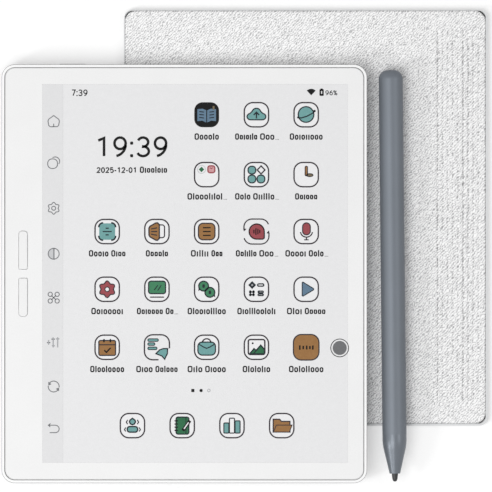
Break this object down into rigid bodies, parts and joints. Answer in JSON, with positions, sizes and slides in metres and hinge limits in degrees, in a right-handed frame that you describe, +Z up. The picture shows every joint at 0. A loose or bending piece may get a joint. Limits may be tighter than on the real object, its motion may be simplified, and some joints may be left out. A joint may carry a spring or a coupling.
{
  "type": "personal digital assistant",
  "caption": "Slim square-cornered paper-display tablet with page buttons, a leather-grain rear grip cover and a round stylus.",
  "frame": {"origin": "on the table, at the middle of the whole layout", "axes": "+X to the right across the tablet, +Y towards the tablet's top edge, +Z up from the table"},
  "size_m": [0.183, 0.1782, 0.0116],
  "materials": {
    "case_white": "moulded, fine matte texture",
    "key_white": "moulded, satin",
    "screen_lens": "anti-glare acrylic over grey-white paper display",
    "strip_lens": "anti-glare acrylic, touch strip",
    "clear_film": "clear film",
    "gasket_foam": "matte foam adhesive",
    "epaper_stack": "paper-like display laminate",
    "board_mask": "solder mask",
    "ribbon_amber": "polyimide film",
    "connector_ivory": "moulded",
    "chassis_alloy": "pressed sheet",
    "screw_steel": "zinc plated",
    "can_nickel": "tinned sheet",
    "spacer_brass": "turned",
    "battery_foil": "laminated foil pouch",
    "lead_black": "insulated wires",
    "black_plastic": "moulded",
    "magnet_nickel": "nickel plated",
    "cover_white": "moulded, satin",
    "cover_leather": "pebbled grain, matte",
    "cover_lining": "brushed microfibre",
    "stylus_slate": "satin soft-touch coat",
    "nib_black": "moulded acetal",
    "ferrite": "sintered",
    "coil_copper": "enamelled copper wire"
  },
  "bodies": {
    "cover": {"cover_magnets": "magnet_nickel", "cover_shell": "cover_white", "cover_skin": "cover_leather", "cover_lining": "cover_lining"},
    "tablet": {"rear_cover": "case_white", "mid_frame": "case_white", "front_panel": "case_white", "screen_lens": "screen_lens", "shortcut_strip": "strip_lens", "lens_adhesive": "clear_film", "front_light_guide": "clear_film", "touch_sensor": "clear_film", "front_gasket": "gasket_foam", "battery_tape": "gasket_foam", "epaper_module": "epaper_stack", "main_board": "board_mask", "port_board": "board_mask", "button_board": "board_mask", "digitizer_board": "board_mask", "front_light_strip": "board_mask", "display_ribbon": "ribbon_amber", "port_ribbon": "ribbon_amber", "antennas": "ribbon_amber", "ribbon_connectors": "connector_ivory", "chassis_plate": "chassis_alloy", "chassis_screws": "screw_steel", "board_screws": "screw_steel", "shield_cans": "can_nickel", "usb_c_receptacle": "can_nickel", "card_reader": "can_nickel", "microphone": "can_nickel", "page_switches": "can_nickel", "board_spacers": "spacer_brass", "battery": "battery_foil", "battery_lead": "lead_black", "speakers": "black_plastic", "power_switch": "black_plastic", "case_magnets": "magnet_nickel"},
    "page_back_button": {"page_back_button": "key_white"},
    "page_next_button": {"page_next_button": "key_white"},
    "power_button": {"power_button": "key_white"},
    "card_tray": {"card_tray": "key_white"},
    "stylus": {"stylus_barrel": "stylus_slate", "stylus_cone": "stylus_slate", "stylus_cap": "stylus_slate", "nib_core": "ferrite", "nib_coil": "coil_copper", "force_sensor": "black_plastic", "stylus_carrier": "black_plastic", "stylus_board": "board_mask", "stylus_magnets": "magnet_nickel"},
    "stylus_nib": {"stylus_nib": "nib_black"}
  },
  "joints": [
    {"name": "tablet_lift", "type": "slide", "parent": "cover", "child": "tablet", "axis": [0, 0, 1], "range_m": [0, 0.05]},
    {"name": "page_back_press", "type": "slide", "parent": "tablet", "child": "page_back_button", "axis": [0, 0, -1], "range_m": [0, 0.00035], "stiffness_N_per_m": 1500, "springref_m": -0.0002},
    {"name": "page_next_press", "type": "slide", "parent": "tablet", "child": "page_next_button", "axis": [0, 0, -1], "range_m": [0, 0.00035], "stiffness_N_per_m": 1500, "springref_m": -0.0002},
    {"name": "power_press", "type": "slide", "parent": "tablet", "child": "power_button", "axis": [0, -1, 0], "range_m": [0, 0.0003], "stiffness_N_per_m": 1500, "springref_m": -0.0002},
    {"name": "card_tray_slide", "type": "slide", "parent": "tablet", "child": "card_tray", "axis": [0, 1, 0], "range_m": [0, 0.021]},
    {"name": "stylus_lift", "type": "slide", "parent": "cover", "child": "stylus", "axis": [0, 0, 1], "range_m": [0, 0.05]},
    {"name": "nib_press", "type": "slide", "parent": "stylus", "child": "stylus_nib", "axis": [-0.0105, 0.9999, 0], "range_m": [0, 0.0003], "stiffness_N_per_m": 1500, "springref_m": -0.0002}
  ]
}
